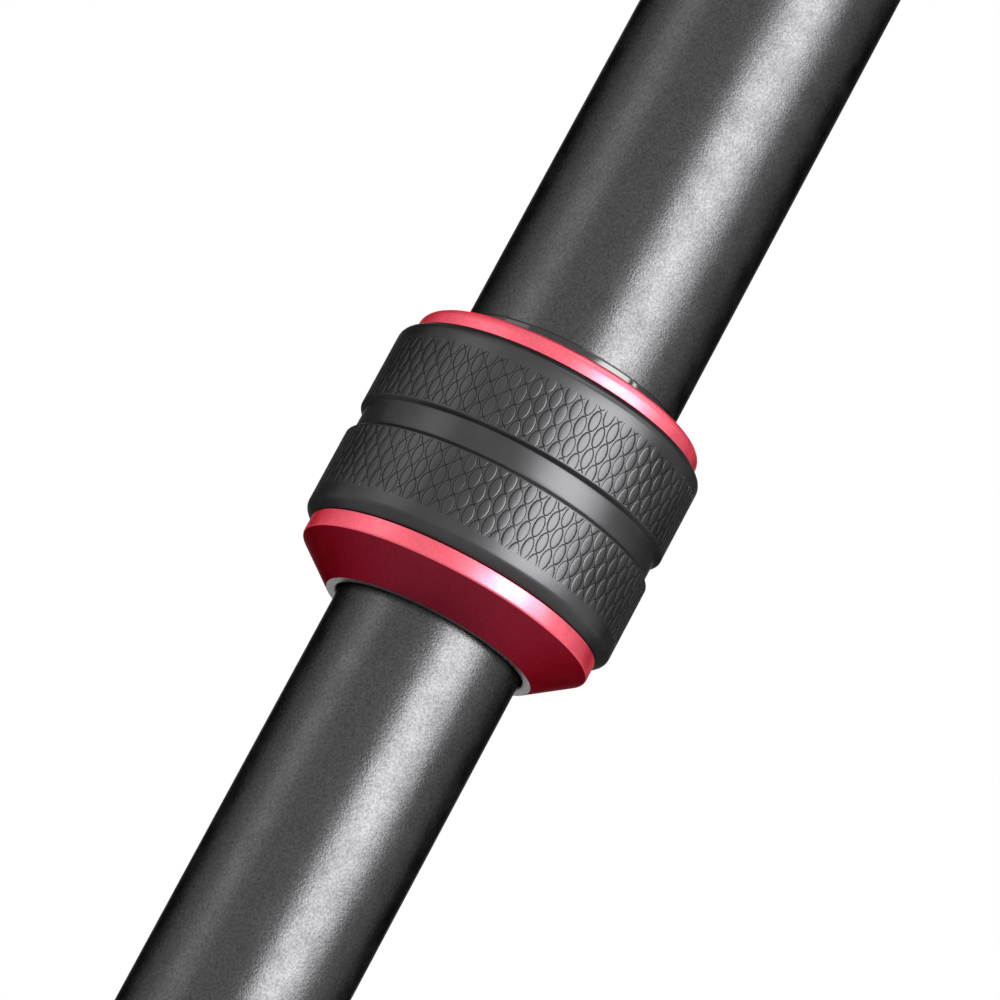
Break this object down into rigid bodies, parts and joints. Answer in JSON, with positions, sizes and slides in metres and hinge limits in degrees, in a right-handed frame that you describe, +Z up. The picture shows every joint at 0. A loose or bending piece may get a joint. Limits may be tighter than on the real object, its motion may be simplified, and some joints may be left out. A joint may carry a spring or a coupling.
{
  "type": "camera tripod",
  "caption": "Camera tripod with a sliding centre column, folding legs on angle stops, telescoping tubes held by rubber-gripped twist locks, and a head plate with a screw.",
  "frame": {"origin": "centre of the head plate's face, where the head screw comes out", "axes": "+Z up along the centre column; the first leg leans towards -X"},
  "size_m": [0.9011, 1.0358, 1.1564],
  "materials": {
    "tube": "black anodised, fine blasted grain",
    "lock_metal": "red anodised, satin",
    "grip": "black rubber, moulded scale pattern",
    "ferrule": "gloss black",
    "bush": "natural grey acetal",
    "casting": "black fine-textured paint over a casting",
    "tab": "red anodised, satin",
    "steel": "turned stainless steel",
    "pad": "ribbed rubber",
    "foot": "matt black rubber",
    "level": "clear cap over tinted liquid"
  },
  "bodies": {
    "spider": {"spider": "casting", "hinge_pins": "steel", "column_bush": "bush", "bubble_level": "level"},
    "column_lock": {"column_lock_nut": "lock_metal", "column_lock_grip": "grip"},
    "column": {"centre_column": "tube", "column_end": "ferrule", "mounting_plate": "casting", "plate_pad": "pad", "head_screw": "steel"},
    "ring": {"load_ring": "steel"},
    "leg_1": {"leg_1_shoulder": "casting", "leg_1_upper_tube": "tube", "leg_1_upper_ferrule": "ferrule", "leg_1_upper_bushes": "bush"},
    "leg_1_stop": {"leg_1_stop_tab": "tab"},
    "leg_1_upper_lock": {"leg_1_upper_lock_nut": "lock_metal", "leg_1_upper_lock_grip": "grip"},
    "leg_1_middle": {"leg_1_middle_tube": "tube", "leg_1_lower_ferrule": "ferrule", "leg_1_middle_bushes": "bush"},
    "leg_1_lower_lock": {"leg_1_lower_lock_nut": "lock_metal", "leg_1_lower_lock_grip": "grip"},
    "leg_1_lower": {"leg_1_lower_tube": "tube", "leg_1_lower_bushes": "bush", "leg_1_foot": "foot"},
    "leg_2": {"leg_2_shoulder": "casting", "leg_2_upper_tube": "tube", "leg_2_upper_ferrule": "ferrule", "leg_2_upper_bushes": "bush"},
    "leg_2_stop": {"leg_2_stop_tab": "tab"},
    "leg_2_upper_lock": {"leg_2_upper_lock_nut": "lock_metal", "leg_2_upper_lock_grip": "grip"},
    "leg_2_middle": {"leg_2_middle_tube": "tube", "leg_2_lower_ferrule": "ferrule", "leg_2_middle_bushes": "bush"},
    "leg_2_lower_lock": {"leg_2_lower_lock_nut": "lock_metal", "leg_2_lower_lock_grip": "grip"},
    "leg_2_lower": {"leg_2_lower_tube": "tube", "leg_2_lower_bushes": "bush", "leg_2_foot": "foot"},
    "leg_3": {"leg_3_shoulder": "casting", "leg_3_upper_tube": "tube", "leg_3_upper_ferrule": "ferrule", "leg_3_upper_bushes": "bush"},
    "leg_3_stop": {"leg_3_stop_tab": "tab"},
    "leg_3_upper_lock": {"leg_3_upper_lock_nut": "lock_metal", "leg_3_upper_lock_grip": "grip"},
    "leg_3_middle": {"leg_3_middle_tube": "tube", "leg_3_lower_ferrule": "ferrule", "leg_3_middle_bushes": "bush"},
    "leg_3_lower_lock": {"leg_3_lower_lock_nut": "lock_metal", "leg_3_lower_lock_grip": "grip"},
    "leg_3_lower": {"leg_3_lower_tube": "tube", "leg_3_lower_bushes": "bush", "leg_3_foot": "foot"}
  },
  "joints": [
    {"name": "column_lock_turn", "type": "hinge", "parent": "spider", "child": "column_lock", "pos_m": [0, 0, -0.0397], "axis": [0, 0, 1], "range_deg": [0, 120]},
    {"name": "column_slide", "type": "slide", "parent": "spider", "child": "column", "axis": [0, 0, 1], "range_m": [0, 0.248]},
    {"name": "ring_swing", "type": "hinge", "parent": "column", "child": "ring", "pos_m": [0, 0, -0.346], "axis": [1, 0, 0], "range_deg": [-85, 85]},
    {"name": "leg_1_fold", "type": "hinge", "parent": "spider", "child": "leg_1", "pos_m": [-0.04, 0, -0.07], "axis": [0, -1, 0], "range_deg": [0, 27]},
    {"name": "leg_1_stop_pull", "type": "slide", "parent": "leg_1", "child": "leg_1_stop", "axis": [-0.891, 0, 0.454], "range_m": [0, 0.006], "stiffness_N_per_m": 300, "springref_m": -0.004},
    {"name": "leg_1_upper_lock_turn", "type": "hinge", "parent": "leg_1", "child": "leg_1_upper_lock", "pos_m": [-0.24884, 0, -0.47986], "axis": [0.454, 0, 0.891], "range_deg": [0, 120]},
    {"name": "leg_1_middle_slide", "type": "slide", "parent": "leg_1", "child": "leg_1_middle", "axis": [0.454, 0, 0.891], "range_m": [0, 0.324]},
    {"name": "leg_1_lower_lock_turn", "type": "hinge", "parent": "leg_1_middle", "child": "leg_1_lower_lock", "pos_m": [-0.41227, 0, -0.80063], "axis": [0.454, 0, 0.891], "range_deg": [0, 120]},
    {"name": "leg_1_lower_slide", "type": "slide", "parent": "leg_1_middle", "child": "leg_1_lower", "axis": [0.454, 0, 0.891], "range_m": [0, 0.328]},
    {"name": "leg_2_fold", "type": "hinge", "parent": "spider", "child": "leg_2", "pos_m": [0.02, -0.03464, -0.07], "axis": [0.866, 0.5, 0], "range_deg": [0, 27]},
    {"name": "leg_2_stop_pull", "type": "slide", "parent": "leg_2", "child": "leg_2_stop", "axis": [0.4455, -0.7716, 0.454], "range_m": [0, 0.006], "stiffness_N_per_m": 300, "springref_m": -0.004},
    {"name": "leg_2_upper_lock_turn", "type": "hinge", "parent": "leg_2", "child": "leg_2_upper_lock", "pos_m": [0.12442, -0.2155, -0.47986], "axis": [-0.227, 0.3932, 0.891], "range_deg": [0, 120]},
    {"name": "leg_2_middle_slide", "type": "slide", "parent": "leg_2", "child": "leg_2_middle", "axis": [-0.227, 0.3932, 0.891], "range_m": [0, 0.324]},
    {"name": "leg_2_lower_lock_turn", "type": "hinge", "parent": "leg_2_middle", "child": "leg_2_lower_lock", "pos_m": [0.20614, -0.35704, -0.80063], "axis": [-0.227, 0.3932, 0.891], "range_deg": [0, 120]},
    {"name": "leg_2_lower_slide", "type": "slide", "parent": "leg_2_middle", "child": "leg_2_lower", "axis": [-0.227, 0.3932, 0.891], "range_m": [0, 0.328]},
    {"name": "leg_3_fold", "type": "hinge", "parent": "spider", "child": "leg_3", "pos_m": [0.02, 0.03464, -0.07], "axis": [-0.866, 0.5, 0], "range_deg": [0, 27]},
    {"name": "leg_3_stop_pull", "type": "slide", "parent": "leg_3", "child": "leg_3_stop", "axis": [0.4455, 0.7716, 0.454], "range_m": [0, 0.006], "stiffness_N_per_m": 300, "springref_m": -0.004},
    {"name": "leg_3_upper_lock_turn", "type": "hinge", "parent": "leg_3", "child": "leg_3_upper_lock", "pos_m": [0.12442, 0.2155, -0.47986], "axis": [-0.227, -0.3932, 0.891], "range_deg": [0, 120]},
    {"name": "leg_3_middle_slide", "type": "slide", "parent": "leg_3", "child": "leg_3_middle", "axis": [-0.227, -0.3932, 0.891], "range_m": [0, 0.324]},
    {"name": "leg_3_lower_lock_turn", "type": "hinge", "parent": "leg_3_middle", "child": "leg_3_lower_lock", "pos_m": [0.20614, 0.35704, -0.80063], "axis": [-0.227, -0.3932, 0.891], "range_deg": [0, 120]},
    {"name": "leg_3_lower_slide", "type": "slide", "parent": "leg_3_middle", "child": "leg_3_lower", "axis": [-0.227, -0.3932, 0.891], "range_m": [0, 0.328]}
  ]
}
